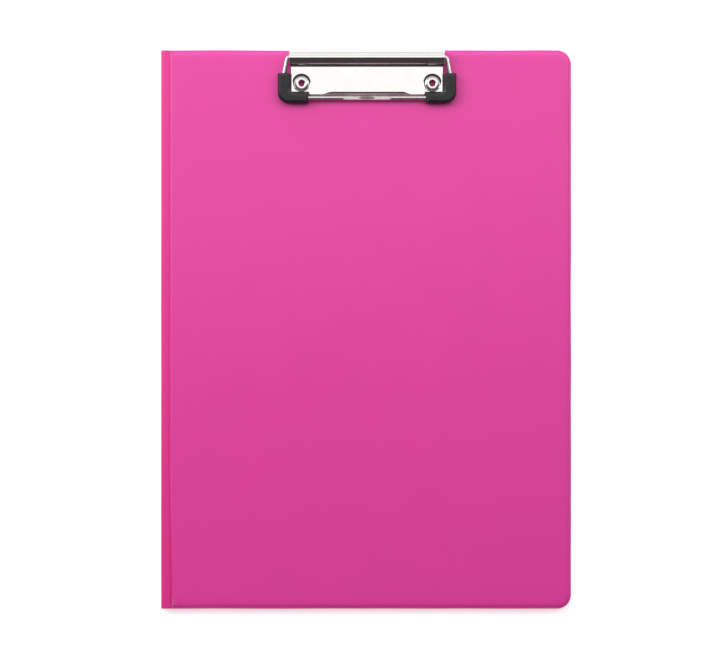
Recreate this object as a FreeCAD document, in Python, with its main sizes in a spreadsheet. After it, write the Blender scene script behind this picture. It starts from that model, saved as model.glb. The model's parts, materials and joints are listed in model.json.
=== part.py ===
import FreeCAD, Part
import os
import Sketcher

# Foldover clipboard, A4, lying flat with its clip side up and its cover folded right round behind it.
# Frame, in millimetres: +X to the right across the board, +Y towards the clip, +Z up out of the clip side.
# The origin is the middle of the lowest plane, on which the folded cover lies.

SIZES = [
    # covered boards
    ("overall_width", 235.0, "folded clipboard across X, spine included"),
    ("board_length", 320.0, "board along Y"),
    ("corner_radius", 8.0, "outer corners of both boards, away from the spine"),
    ("core_thickness", 2.0, "greyboard"),
    ("core_edge_radius", 0.6, "greyboard edges, crushed round by the tight sheet"),
    ("sheet_thickness", 0.35, "one vinyl sheet"),
    ("flange_width", 1.3, "welded rim outside the wrapped greyboard"),
    ("hinge_flange_width", 1.0, "welded strip between greyboard and crease"),
    ("panel_gap", 0.6, "air between the two boards when folded back"),
    # spine
    ("spine_reach", 4.8, "from a crease to the fold of the spine"),
    ("crease_setback", 0.4, "bare half width of a crease, each side of its axis"),
    # pocket inside the cover
    ("pocket_thickness", 0.25, "pocket sheet"),
    ("pocket_length", 198.0, "pocket along Y, from the foot of the cover"),
    ("notch_radius", 14.0, "thumb notch in the pocket's mouth"),
    # clip plate
    ("clip_centre_x", 0.6, "middle of the clip"),
    ("bail_axis_inset", 4.9, "pivot of the bail from the board's top edge"),
    ("bail_axis_height", 4.0, "pivot of the bail above the board's face"),
    ("plate_sheet", 0.8, "spring steel of the plate"),
    ("hump_radius", 4.6, "outside of the half-round hump"),
    ("hump_width", 88.4, "hump along X"),
    ("crown_flat", 0.1, "half width of the flat left where two rounds meet"),
    ("hump_lift", 0.3, "hump's rear wall clear of the board"),
    ("plate_width", 87.0, "flat of the plate along X"),
    ("plate_height", 2.2, "top of the flat above the board's face"),
    ("plate_reach", 19.5, "pivot to the plate's shoulders"),
    ("tongue_reach", 21.2, "pivot to the front edge of the tongue"),
    ("tongue_width", 65.2, "tongue between the two sleeves"),
    ("plate_corner", 1.6, "corners of the flat, seen from above"),
    ("plate_bend", 0.6, "outside radius of the pressed edges"),
    ("hump_bend", 0.6, "inside radius where the flat meets the hump"),
    # rivets and their pressed seats
    ("rivet_spacing", 74.8, "rivet to rivet"),
    ("rivet_inset", 14.3, "pivot to the rivets"),
    ("rivet_bore_radius", 1.7, "hole through a tubular rivet"),
    ("rivet_tube_radius", 2.3, "outside of a rivet's tube"),
    ("rivet_clearance", 0.05, "rivet in its hole, on the radius"),
    ("rivet_rim_radius", 3.3, "rolled rim on the plate"),
    ("rivet_rim_height", 1.0, "rolled rim"),
    ("rivet_rim_round", 0.45, "rounding of the rolled rim"),
    ("rivet_head_radius", 4.5, "head on the back"),
    ("rivet_head_thickness", 0.4, "head on the back"),
    ("rivet_head_round", 0.25, "rounding of the head's edge"),
    ("seat_radius", 3.9, "pressed seat round a rivet"),
    # wire bail
    ("wire_radius", 1.3, "bail wire"),
    ("wire_clearance", 0.05, "wire in the hump's end cheeks, on the radius"),
    ("bail_half_width", 47.4, "middle of the bail to the centre of a side arm"),
    ("bail_reach", 22.9, "pivot to the centre of the front bar"),
    ("bail_front_height", 2.75, "centre of the front bar above the board's face"),
    ("bail_splay", 1.84, "outward run of a side arm between the hump and its sleeve"),
    ("bail_splay_length", 9.2, "pivot to where a side arm runs straight, inside its sleeve"),
    ("bail_rear_bend", 1.75, "centreline radius of the two rear corners"),
    ("bail_front_bend", 4.5, "centreline radius of the two front corners"),
    ("crank_throw", 1.6, "centre of the crank from the pivot"),
    ("crank_half_length", 13.0, "straight part of the crank"),
    ("crank_ramp", 4.0, "each ramp of the crank along X"),
    ("crank_root", 30.0, "middle of the bail to where the pivot bar is joined"),
    ("crank_angle", 40.0, "crank above the forward direction, clip shut"),
    ("weld_flat_length", 27.0, "dressed butt weld in the middle of the front bar"),
    ("weld_flat_depth", 0.3, "wire dressed off the weld"),
    # corner sleeves
    ("sleeve_rise", 14.2, "centre of the front bar to the sleeve's rear end"),
    ("sleeve_run", 13.9, "centre of the side arm to the sleeve's inner end"),
    ("sleeve_arm_width", 7.1, "sleeve across the side arm"),
    ("sleeve_bar_width", 5.8, "sleeve across the front bar"),
    ("sleeve_depth", 5.0, "sleeve square to the bail"),
    ("sleeve_corner", 6.0, "outer corner of a sleeve"),
    ("sleeve_inner_corner", 2.0, "inner corner of a sleeve"),
    ("sleeve_round", 1.7, "rounding of a sleeve's long edges"),
    ("sleeve_clearance", 0.02, "wire in the sleeve, on the radius"),
    # leaf spring under the hump
    ("leaf_half_length", 18.0, "middle to end of the leaf spring"),
    ("leaf_width", 4.0, "leaf spring along Y"),
    ("leaf_thickness", 0.35, "leaf spring"),
    ("leaf_height", 6.4, "underside of the leaf spring's middle above the board's face"),
    ("leaf_radius", 360.0, "arch of the leaf spring's underside"),
]

# Places worked out from the driving sizes, as expressions on the sheet.
HALF_PANEL = "(Sizes.core_thickness / 2 + Sizes.sheet_thickness)"
COVER_MID = f"(Sizes.pocket_thickness + {HALF_PANEL})"
BOARD_MID = f"({COVER_MID} + 2 * {HALF_PANEL} + Sizes.panel_gap)"
BOARD_FACE = f"({BOARD_MID} + {HALF_PANEL})"
HALF_WIDTH = "(Sizes.overall_width / 2)"
HALF_LENGTH = "(Sizes.board_length / 2)"
FOLD_X = f"(Sizes.sheet_thickness - {HALF_WIDTH})"
CREASE_X = f"({FOLD_X} + Sizes.spine_reach)"
WRAP_LEFT = f"({CREASE_X} + Sizes.hinge_flange_width)"
WRAP_RIGHT = f"({HALF_WIDTH} - Sizes.flange_width)"
WRAP_TOP = f"({HALF_LENGTH} - Sizes.flange_width)"
BAIL_AXIS_Y = f"({HALF_LENGTH} - Sizes.bail_axis_inset)"
BAIL_AXIS_Z = f"({BOARD_FACE} + Sizes.bail_axis_height)"
BAIL_SLOPE = "asin((Sizes.bail_axis_height - Sizes.bail_front_height) / Sizes.bail_reach)"
RIVET_Y = f"({BAIL_AXIS_Y} - Sizes.rivet_inset)"
RIVET_HOLE = "(Sizes.rivet_tube_radius + Sizes.rivet_clearance)"
SIDES = {"left": -1, "right": 1}
NEAR = 1e-4

DOC = FreeCAD.newDocument("foldover_clipboard")


def make_sheet():
    """The sheet of driving sizes, one row each."""
    sheet = DOC.addObject("Spreadsheet::Sheet", "Sizes")
    for row, (alias, value, meaning) in enumerate(SIZES, start=1):
        sheet.set(f"A{row}", meaning)
        sheet.set(f"B{row}", str(value))
        sheet.setAlias(f"B{row}", alias)
    DOC.recompute()
    return sheet


SHEET = make_sheet()


def number(expression):
    """The value of an expression on the sheet: millimetres, or degrees for an angle."""
    value = SHEET.evalExpression(expression)
    return float(getattr(value, "Value", value))


def point(x, y, z="0"):
    return FreeCAD.Vector(number(x), number(y), number(z))


# Sketches ------------------------------------------------------------------------------------


def new_body(label):
    body = DOC.addObject("PartDesign::Body", label)
    body.Label = label
    return body


def place(obj, x="0", y="0", z="0", tilt="0"):
    """Puts an object at x, y, z, turned by tilt about X."""
    obj.Placement = FreeCAD.Placement(
        point(x, y, z), FreeCAD.Rotation(FreeCAD.Vector(1, 0, 0), number(tilt))
    )
    for axis, expression in (("x", x), ("y", y), ("z", z)):
        obj.setExpression(f"Placement.Base.{axis}", expression)
    if tilt != "0":
        obj.setExpression("Placement.Rotation.Angle", tilt)
    return obj


def sketch_on(body, name, role="XY_Plane", lift=None, turn=None):
    """A sketch on one of the body's origin planes, lifted off it or turned about its own X."""
    sketch = body.newObject("Sketcher::SketchObject", name)
    plane = [f for f in body.Origin.OriginFeatures if f.Role == role][0]
    sketch.AttachmentSupport = [(plane, "")]
    sketch.MapMode = "FlatFace"
    if lift:
        sketch.setExpression("AttachmentOffset.Base.z", lift)
    if turn:
        sketch.AttachmentOffset = FreeCAD.Placement(
            FreeCAD.Vector(), FreeCAD.Rotation(FreeCAD.Vector(-1, 0, 0), number(turn))
        )
        sketch.setExpression("AttachmentOffset.Rotation.Angle", turn)
    return sketch


def bind(sketch, constraint, expression):
    """Adds a sketch constraint whose size follows the sheet."""
    index = sketch.addConstraint(constraint)
    sketch.setExpression(f"Constraints[{index}]", expression)


def pin_point(sketch, geometry, end, x, y):
    """Fixes one end of a piece of geometry at x, y from the sketch's origin."""
    bind(sketch, Sketcher.Constraint("DistanceX", -1, 1, geometry, end, number(x)), x)
    bind(sketch, Sketcher.Constraint("DistanceY", -1, 1, geometry, end, number(y)), y)


def draw_outline(sketch, corners, closed=True):
    """Straight lines through the corners, each corner fixed by two distances."""
    last = len(corners) if closed else len(corners) - 1
    for i in range(last):
        start, end = corners[i], corners[(i + 1) % len(corners)]
        sketch.addGeometry(Part.LineSegment(point(*start), point(*end)))
        pin_point(sketch, i, 1, *start)
        if i:
            sketch.addConstraint(Sketcher.Constraint("Coincident", i - 1, 2, i, 1))
    if closed:
        sketch.addConstraint(Sketcher.Constraint("Coincident", last - 1, 2, 0, 1))
    else:
        pin_point(sketch, last - 1, 2, *corners[-1])
    return sketch


def draw_rectangle(sketch, left, right, bottom, top):
    return draw_outline(sketch, [(left, bottom), (right, bottom), (right, top), (left, top)])


def draw_circle(sketch, x, y, radius):
    index = sketch.addGeometry(
        Part.Circle(point(x, y), FreeCAD.Vector(0, 0, 1), number(radius))
    )
    pin_point(sketch, index, 3, x, y)
    bind(sketch, Sketcher.Constraint("Radius", index, number(radius)), radius)
    return sketch


# Features ------------------------------------------------------------------------------------


def add_pad(body, name, sketch, length, down=False, both_ways=False):
    pad = body.newObject("PartDesign::Pad", name)
    pad.Profile = sketch
    pad.setExpression("Length", length)
    pad.Reversed = down
    if both_ways:
        pad.SideType = "Symmetric"
    DOC.recompute()
    return pad


def add_pocket(body, name, sketch, length=None, up=False, both_ways=False):
    """Cuts a sketch through everything both ways, or to a depth, and checks that it cut."""
    before = body.Shape.Volume
    pocket = body.newObject("PartDesign::Pocket", name)
    pocket.Profile = sketch
    if length:
        pocket.setExpression("Length", length)
        pocket.Reversed = up
    else:
        pocket.Type = "ThroughAll"
    if both_ways or not length:
        pocket.SideType = "Symmetric"
    DOC.recompute()
    if body.Shape.Volume > before - NEAR:
        raise ValueError(f"{body.Label}: {name} cut nothing")
    return pocket


def add_turned(body, name, sketch):
    """A full turn of a sketch about its vertical axis."""
    turned = body.newObject("PartDesign::Revolution", name)
    turned.Profile = sketch
    turned.ReferenceAxis = (sketch, ["V_Axis"])
    turned.Angle = 360
    DOC.recompute()
    return turned


def add_pipe(body, name, profile, path, cut=False):
    kind = "PartDesign::SubtractivePipe" if cut else "PartDesign::AdditivePipe"
    pipe = body.newObject(kind, name)
    pipe.Profile = profile
    pipe.Spine = (path, [])
    pipe.Transition = "Right corner"
    DOC.recompute()
    return pipe


def add_fillet(body, name, radius, wanted):
    """Rounds the edges of the body so far that wanted(edge) picks out."""
    base = body.Tip
    edges = [f"Edge{i}" for i, edge in enumerate(base.Shape.Edges, start=1) if wanted(edge)]
    if not edges:
        raise ValueError(f"{body.Label}: {name} finds no edge")
    fillet = body.newObject("PartDesign::Fillet", name)
    fillet.Base = (base, edges)
    fillet.setExpression("Radius", radius)
    DOC.recompute()
    return fillet


def spans(edge):
    """An edge's size along X, Y and Z."""
    box = edge.BoundBox
    return box.XLength, box.YLength, box.ZLength


def at_height(edge, z):
    """True for an edge that lies in the level plane z."""
    box = edge.BoundBox
    return abs(box.ZMin - z) < NEAR and abs(box.ZMax - z) < NEAR


def is_upright(edge):
    across, along, height = spans(edge)
    return across < NEAR and along < NEAR and height > NEAR


def is_upright_over(edge, places):
    """True for an upright edge over or under one of some points, seen from above."""
    centre = edge.CenterOfMass
    return is_upright(edge) and any(
        abs(centre.x - place.x) < NEAR and abs(centre.y - place.y) < NEAR for place in places
    )


def is_right_corner(edge, x, y):
    """True for an upright edge at x and at distance y from the middle, on either side of it."""
    box = edge.BoundBox
    return is_upright(edge) and abs(box.XMax - x) < NEAR and abs(abs(box.YMax) - y) < NEAR


# Covered boards ------------------------------------------------------------------------------


def cut_rivet_holes(body):
    """Holes for the two rivets through a piece of the clip's board."""
    sketch = sketch_on(body, body.Label + "_rivet_holes")
    for side in SIDES.values():
        x = f"Sizes.clip_centre_x + {side} * Sizes.rivet_spacing / 2"
        draw_circle(sketch, x, RIVET_Y, RIVET_HOLE)
    add_pocket(body, body.Label + "_rivet_bores", sketch)


def make_core(label, middle, riveted):
    """A greyboard with square corners at the spine and round ones away from it."""
    inset = "Sizes.sheet_thickness"
    left, right = f"{WRAP_LEFT} + {inset}", f"{WRAP_RIGHT} - {inset}"
    bottom, top = f"{inset} - {WRAP_TOP}", f"{WRAP_TOP} - {inset}"
    body = place(new_body(label), z=middle)
    sketch = draw_rectangle(sketch_on(body, label + "_outline"), left, right, bottom, top)
    add_pad(body, label + "_slab", sketch, "Sizes.core_thickness", both_ways=True)
    corner = f"Sizes.corner_radius - Sizes.flange_width - {inset}"
    add_fillet(body, label + "_corners", corner, lambda e: is_right_corner(e, number(right), number(top)))
    half = number("Sizes.core_thickness / 2")
    add_fillet(
        body,
        label + "_edges",
        "Sizes.core_edge_radius",
        lambda e: at_height(e, half) or at_height(e, -half),
    )
    if riveted:
        cut_rivet_holes(body)
    return body


def make_sheet_over(label, core, middle, down, riveted):
    """A vinyl sheet that wraps half the thickness of a core and ends in the flat welded rim."""
    body = place(new_body(label + "_blank"), z=middle)
    crown = sketch_on(body, label + "_crown_outline")
    draw_rectangle(crown, WRAP_LEFT, WRAP_RIGHT, f"-{WRAP_TOP}", WRAP_TOP)
    add_pad(body, label + "_crown", crown, HALF_PANEL, down=down)
    add_fillet(
        body,
        label + "_crown_corners",
        "Sizes.corner_radius - Sizes.flange_width",
        lambda e: is_right_corner(e, number(WRAP_RIGHT), number(WRAP_TOP)),
    )
    face = number(HALF_PANEL) * (-1 if down else 1)
    rounding = "Sizes.core_edge_radius + Sizes.sheet_thickness"
    add_fillet(body, label + "_crown_edges", rounding, lambda e: at_height(e, face))
    rim_left = f"{CREASE_X} + Sizes.crease_setback"
    rim = sketch_on(body, label + "_rim_outline")
    draw_rectangle(rim, rim_left, HALF_WIDTH, f"-{HALF_LENGTH}", HALF_LENGTH)
    add_pad(body, label + "_rim", rim, "Sizes.sheet_thickness", down=down)
    add_fillet(
        body,
        label + "_rim_corners",
        "Sizes.corner_radius",
        lambda e: is_right_corner(e, number(HALF_WIDTH), number(HALF_LENGTH)),
    )
    if riveted:
        cut_rivet_holes(body)
    sheet = DOC.addObject("Part::Cut", label)
    sheet.Label = label
    sheet.Base = body
    sheet.Tool = core
    return sheet


def make_clip_board():
    core = make_core("clip_board_core", BOARD_MID, riveted=True)
    return [
        core,
        make_sheet_over("clip_board_lining", core, BOARD_MID, down=False, riveted=True),
        make_sheet_over("clip_board_outer_sheet", core, BOARD_MID, down=True, riveted=True),
    ]


def make_cover():
    """The cover lies face to face behind the clip's board, so its lining faces down."""
    core = make_core("cover_core", COVER_MID, riveted=False)
    return [
        core,
        make_sheet_over("cover_outer_sheet", core, COVER_MID, down=False, riveted=False),
        make_sheet_over("cover_lining", core, COVER_MID, down=True, riveted=False),
        make_pocket(),
    ]


def make_pocket():
    """The flat pocket welded inside the cover, open towards the clip, with a thumb notch."""
    label = "cover_pocket"
    rounding = "(Sizes.sheet_thickness + Sizes.core_edge_radius)"
    left, right = f"{WRAP_LEFT} + {rounding}", f"{WRAP_RIGHT} - {rounding}"
    foot = f"{rounding} - {WRAP_TOP}"
    mouth = f"{foot} + Sizes.pocket_length"
    middle = f"({WRAP_LEFT} + {WRAP_RIGHT}) / 2"
    body = place(new_body(label))
    sketch = draw_rectangle(sketch_on(body, label + "_outline"), left, right, foot, mouth)
    add_pad(body, label + "_slab", sketch, "Sizes.pocket_thickness")
    notch = draw_circle(sketch_on(body, label + "_notch_outline"), middle, mouth, "Sizes.notch_radius")
    add_pocket(body, label + "_notch", notch)
    corner = f"Sizes.corner_radius - Sizes.flange_width - {rounding}"
    x, y = number(right), number(foot)
    add_fillet(
        body,
        label + "_corner",
        corner,
        lambda e: is_right_corner(e, x, -y) and e.BoundBox.YMax < 0,
    )
    return body


# Spine ---------------------------------------------------------------------------------------


def make_strip(label, x, z, width, height):
    """One sheet of one flat of the spine, as long as the boards."""
    strip = DOC.addObject("Part::Box", label)
    strip.Label = label
    strip.setExpression("Length", width)
    strip.setExpression("Width", "Sizes.board_length")
    strip.setExpression("Height", height)
    return place(strip, x=x, y=f"-{HALF_LENGTH}", z=z)


def make_spine():
    """Two welded sheets in three flats: out from the board, down, and back in to the cover."""
    sheet = "Sizes.sheet_thickness"
    flat_x = f"{FOLD_X} + Sizes.crease_setback"
    flat = "Sizes.spine_reach - 2 * Sizes.crease_setback"
    upright_z = f"{COVER_MID} + Sizes.crease_setback"
    upright = f"{BOARD_MID} - {COVER_MID} - 2 * Sizes.crease_setback"
    return [
        make_strip("spine_lining_clip_side", flat_x, BOARD_MID, flat, sheet),
        make_strip("spine_outer_sheet_clip_side", flat_x, f"{BOARD_MID} - {sheet}", flat, sheet),
        make_strip("spine_lining_middle", f"{FOLD_X} - {sheet}", upright_z, sheet, upright),
        make_strip("spine_outer_sheet_middle", FOLD_X, upright_z, sheet, upright),
        make_strip("spine_lining_cover_side", flat_x, f"{COVER_MID} - {sheet}", flat, sheet),
        make_strip("spine_outer_sheet_cover_side", flat_x, COVER_MID, flat, sheet),
    ]


# Clip ----------------------------------------------------------------------------------------


def place_on_clip(obj, height, tilt="0"):
    """Puts a clip piece with its own origin under or on the bail's pivot, mid-clip."""
    return place(obj, x="Sizes.clip_centre_x", y=BAIL_AXIS_Y, z=height, tilt=tilt)


def add_hump(body):
    """The hump, as a solid over the bail's pivot, its top rounded to almost a half circle."""
    radius = "Sizes.hump_radius"
    top = f"Sizes.bail_axis_height + {radius}"
    outline = sketch_on(body, "hump_outline", "YZ_Plane")
    draw_rectangle(outline, f"-{radius}", radius, "Sizes.hump_lift", top)
    add_pad(body, "hump_block", outline, "Sizes.hump_width", both_ways=True)
    height = number(top)
    add_fillet(
        body,
        "hump_crown",
        f"{radius} - Sizes.crown_flat",
        lambda e: at_height(e, height) and spans(e)[1] < NEAR,
    )


def add_flat(body):
    """The flat of the plate, as a solid, in front of the hump: two shoulders and a narrower tongue."""
    half, tongue = "Sizes.plate_width / 2", "Sizes.tongue_width / 2"
    shoulder, front = "-Sizes.plate_reach", "-Sizes.tongue_reach"
    outline = [
        (f"-{half}", "0"),
        (f"-{half}", shoulder),
        (f"-{tongue}", shoulder),
        (f"-{tongue}", front),
        (tongue, front),
        (tongue, shoulder),
        (half, shoulder),
        (half, "0"),
    ]
    add_pad(body, "flat", draw_outline(sketch_on(body, "flat_outline"), outline), "Sizes.plate_height")
    wing, reach = number(half), number(shoulder)
    corners = [FreeCAD.Vector(wing, reach, 0), FreeCAD.Vector(-wing, reach, 0)]
    add_fillet(body, "flat_corners", "Sizes.plate_corner", lambda e: is_upright_over(e, corners))


def add_seat(body, name, side):
    """A round seat for one rivet, pressed down from the flat."""
    seat = sketch_on(body, name + "_seat_outline", lift="Sizes.plate_height")
    draw_circle(seat, f"{side} * Sizes.rivet_spacing / 2", "-Sizes.rivet_inset", "Sizes.seat_radius")
    add_pocket(body, name + "_seat", seat, "Sizes.plate_height - Sizes.plate_sheet")


def round_bends(body):
    """Rounds the top edges of the flat and its seats, and the bend up into the hump."""
    top, wall = number("Sizes.plate_height"), -number("Sizes.hump_radius")
    outside = lambda e: at_height(e, top) and e.BoundBox.YMin < wall - NEAR
    add_fillet(body, "flat_bends", "Sizes.plate_bend", outside)
    inside = lambda e: at_height(e, top) and abs(e.CenterOfMass.y - wall) < NEAR
    add_fillet(body, "hump_bend", "Sizes.hump_bend", inside)


def hollow_out(body):
    """Takes out all but the sheet steel, under the hump between its end cheeks and under the flat."""
    sheet, axis = "Sizes.plate_sheet", "Sizes.bail_axis_height"
    radius = f"(Sizes.hump_radius - {sheet})"
    inside = f"Sizes.hump_width - 2 * {sheet}"
    walls = sketch_on(body, "hump_hollow_outline", "YZ_Plane")
    draw_rectangle(walls, f"-{radius}", radius, f"-{sheet}", axis)
    add_pocket(body, "hump_hollow", walls, inside, both_ways=True)
    roof = draw_circle(sketch_on(body, "hump_roof_outline", "YZ_Plane"), "0", axis, radius)
    add_pocket(body, "hump_roof", roof, inside, both_ways=True)
    half, tongue = f"(Sizes.plate_width / 2 - {sheet})", f"(Sizes.tongue_width / 2 - {sheet})"
    shoulder, front = f"{sheet} - Sizes.plate_reach", f"{sheet} - Sizes.tongue_reach"
    seat = f"(Sizes.rivet_spacing / 2 - Sizes.seat_radius - {sheet})"
    back = f"Sizes.seat_radius + {sheet} - Sizes.rivet_inset"
    left_side = [
        (f"-{half}", "0"),
        (f"-{half}", back),
        (f"-{seat}", back),
        (f"-{seat}", shoulder),
        (f"-{tongue}", shoulder),
        (f"-{tongue}", front),
    ]
    right_side = [(x.removeprefix("-"), y) for x, y in reversed(left_side)]
    under_flat = draw_outline(sketch_on(body, "flat_hollow_outline"), left_side + right_side)
    add_pocket(body, "flat_hollow", under_flat, f"Sizes.plate_height - {sheet}", up=True)


def make_base_plate():
    body = place_on_clip(new_body("clip_base_plate"), BOARD_FACE)
    add_hump(body)
    add_flat(body)
    for name, side in SIDES.items():
        add_seat(body, name, side)
    round_bends(body)
    hollow_out(body)
    bearings = sketch_on(body, "bearing_outline", "YZ_Plane")
    draw_circle(bearings, "0", "Sizes.bail_axis_height", "Sizes.wire_radius + Sizes.wire_clearance")
    add_pocket(body, "bearings", bearings)
    holes = sketch_on(body, "rivet_hole_outline")
    for side in SIDES.values():
        draw_circle(holes, f"{side} * Sizes.rivet_spacing / 2", "-Sizes.rivet_inset", RIVET_HOLE)
    add_pocket(body, "rivet_holes", holes)
    return body


def make_rivet(name, side):
    """A tubular rivet: its head on the board's back, its rim rolled over the plate."""
    body = new_body(name + "_rivet")
    x = f"Sizes.clip_centre_x + {side} * Sizes.rivet_spacing / 2"
    place(body, x=x, y=RIVET_Y, z=BOARD_FACE)
    back = f"(-2 * {HALF_PANEL})"
    bore, tube = "Sizes.rivet_bore_radius", "Sizes.rivet_tube_radius"
    head, seat = "Sizes.rivet_head_radius", "Sizes.plate_sheet"
    head_bottom = f"{back} - Sizes.rivet_head_thickness"
    rim_top = f"{seat} + Sizes.rivet_rim_height"
    section = [
        (bore, head_bottom),
        (head, head_bottom),
        (head, back),
        (tube, back),
        (tube, seat),
        ("Sizes.rivet_rim_radius", seat),
        ("Sizes.rivet_rim_radius", rim_top),
        (bore, rim_top),
    ]
    sketch = sketch_on(body, name + "_rivet_section", "XZ_Plane")
    add_turned(body, name + "_rivet_blank", draw_outline(sketch, section))
    top, bottom = number(rim_top), number(head_bottom)
    add_fillet(body, name + "_rivet_rim", "Sizes.rivet_rim_round", lambda e: at_height(e, top))
    add_fillet(
        body,
        name + "_rivet_head",
        "Sizes.rivet_head_round",
        lambda e: at_height(e, bottom) and spans(e)[0] > 2 * number(head) - NEAR,
    )
    return body


def make_rivets():
    group = DOC.addObject("Part::Compound", "clip_rivets")
    group.Label = "clip_rivets"
    group.Links = [make_rivet(name, side) for name, side in SIDES.items()]
    return group


def make_leaf_spring():
    """An arched strip between the hump's roof and the bail's crank."""
    body = place_on_clip(new_body("clip_leaf_spring"), BOARD_FACE)
    sketch = sketch_on(body, "leaf_section", "XZ_Plane")
    half, low = "Sizes.leaf_half_length", "Sizes.leaf_height"
    rise = "(Sizes.leaf_radius - sqrt(pow(Sizes.leaf_radius; 2) - pow(Sizes.leaf_half_length; 2)))"
    ends = f"{low} + {rise}"
    thick = "Sizes.leaf_thickness"
    radius = "Sizes.leaf_radius"
    for extra in ("", f" + {thick}"):
        arc = Part.Arc(
            point(f"-{half}", ends + extra), point("0", low + extra), point(half, ends + extra)
        )
        geometry = sketch.addGeometry(arc)
        pin_point(sketch, geometry, 1, f"-{half}", ends + extra)
        pin_point(sketch, geometry, 2, half, ends + extra)
        bind(sketch, Sketcher.Constraint("Radius", geometry, number(radius)), radius)
    for end, x in ((1, f"-{half}"), (2, half)):
        line = sketch.addGeometry(Part.LineSegment(point(x, ends), point(x, f"{ends} + {thick}")))
        sketch.addConstraint(Sketcher.Constraint("Coincident", 0, end, line, 1))
        sketch.addConstraint(Sketcher.Constraint("Coincident", 1, end, line, 2))
    add_pad(body, "leaf", sketch, "Sizes.leaf_width", both_ways=True)
    return body


# Wire bail -----------------------------------------------------------------------------------


def draw_bail_path(body):
    """The bail's centreline in its own plane, from one root of the crank round to the other."""
    sketch = sketch_on(body, body.Label + "_path")
    arm, reach, root = "Sizes.bail_half_width", "Sizes.bail_reach", "Sizes.crank_root"
    rear, front = "Sizes.bail_rear_bend", "Sizes.bail_front_bend"
    splay, fall = "Sizes.bail_splay", "Sizes.bail_splay_length"
    slant = f"sqrt(pow({splay}; 2) + pow({fall}; 2))"
    run = f"({rear} * ({slant} - {splay}) / {fall})"
    corner = f"({arm} - {splay})"
    bend_x, bend_y = f"({corner} + {run} * {splay} / {slant})", f"-{run} * {fall} / {slant}"
    right_side = [
        ((root, "0"), (f"{corner} - {run}", "0")),
        ((bend_x, bend_y), (arm, f"-{fall}")),
        ((arm, f"-{fall}"), (arm, f"{front} - {reach}")),
    ]
    front_bar = ((f"{arm} - {front}", f"-{reach}"), (f"{front} - {arm}", f"-{reach}"))
    mirrored = [tuple((f"-({x})", y) for x, y in reversed(line)) for line in reversed(right_side)]
    lines = right_side + [front_bar] + mirrored
    for start, end in lines:
        index = sketch.addGeometry(Part.LineSegment(point(*start), point(*end)))
        pin_point(sketch, index, 1, *start)
        pin_point(sketch, index, 2, *end)
    crown_x = f"({corner} - {run})"
    bends = [
        (0, rear, crown_x, f"-{rear}", 1),
        (2, front, f"({arm} - {front})", f"{front} - {reach}", -1),
        (3, front, f"({front} - {arm})", f"{front} - {reach}", -1),
        (5, rear, f"-{crown_x}", f"-{rear}", 1),
    ]
    for index, radius, centre_x, centre_y, rearward in bends:
        side = 1 if index < len(right_side) else -1
        reach_out = FreeCAD.Vector(side, rearward, 0).normalize() * number(radius)
        ends = [point(*lines[index][1]), point(*lines[index + 1][0])]
        arc = Part.Arc(ends[0], point(centre_x, centre_y) + reach_out, ends[1])
        bend = sketch.addGeometry(arc)
        swapped = (sketch.getPoint(bend, 1) - ends[0]).Length > NEAR
        first, second = (2, 1) if swapped else (1, 2)
        sketch.addConstraint(Sketcher.Constraint("Coincident", index, 2, bend, first))
        sketch.addConstraint(Sketcher.Constraint("Coincident", index + 1, 1, bend, second))
        bind(sketch, Sketcher.Constraint("Radius", bend, number(radius)), radius)
    return sketch


def draw_wire_section(body, name, radius):
    """The wire's round section, square to the pivot at the crank's root."""
    sketch = sketch_on(body, name, "YZ_Plane", lift="Sizes.crank_root")
    return draw_circle(sketch, "0", "0", radius)


def place_on_bail(obj):
    return place_on_clip(obj, BAIL_AXIS_Z, tilt=BAIL_SLOPE)


def make_wire_bail():
    """One closed loop of wire whose pivot bar is cranked in the middle."""
    body = place_on_bail(new_body("wire_bail"))
    section = draw_wire_section(body, "loop_section", "Sizes.wire_radius")
    add_pipe(body, "loop", section, draw_bail_path(body))
    flat, ramp, root = "Sizes.crank_half_length", "Sizes.crank_ramp", "Sizes.crank_root"
    corners = [
        (root, "0"),
        (f"{flat} + {ramp}", "0"),
        (flat, "-Sizes.crank_throw"),
        (f"-{flat}", "-Sizes.crank_throw"),
        (f"-{flat} - {ramp}", "0"),
        (f"-{root}", "0"),
    ]
    path = sketch_on(body, "crank_path", turn=f"Sizes.crank_angle * 1 deg + {BAIL_SLOPE}")
    draw_outline(path, corners, closed=False)
    section = draw_wire_section(body, "crank_section", "Sizes.wire_radius")
    add_pipe(body, "crank", section, path)
    half = "Sizes.weld_flat_length / 2"
    top = "Sizes.wire_radius - Sizes.weld_flat_depth"
    dressed = sketch_on(body, "weld_flat_outline", lift=top)
    bar, wire = "Sizes.bail_reach", "Sizes.wire_radius"
    draw_rectangle(dressed, f"-{half}", half, f"-{bar} - {wire}", f"{wire} - {bar}")
    add_pocket(body, "weld_flat", dressed, "Sizes.wire_radius", up=True)
    return body


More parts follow.
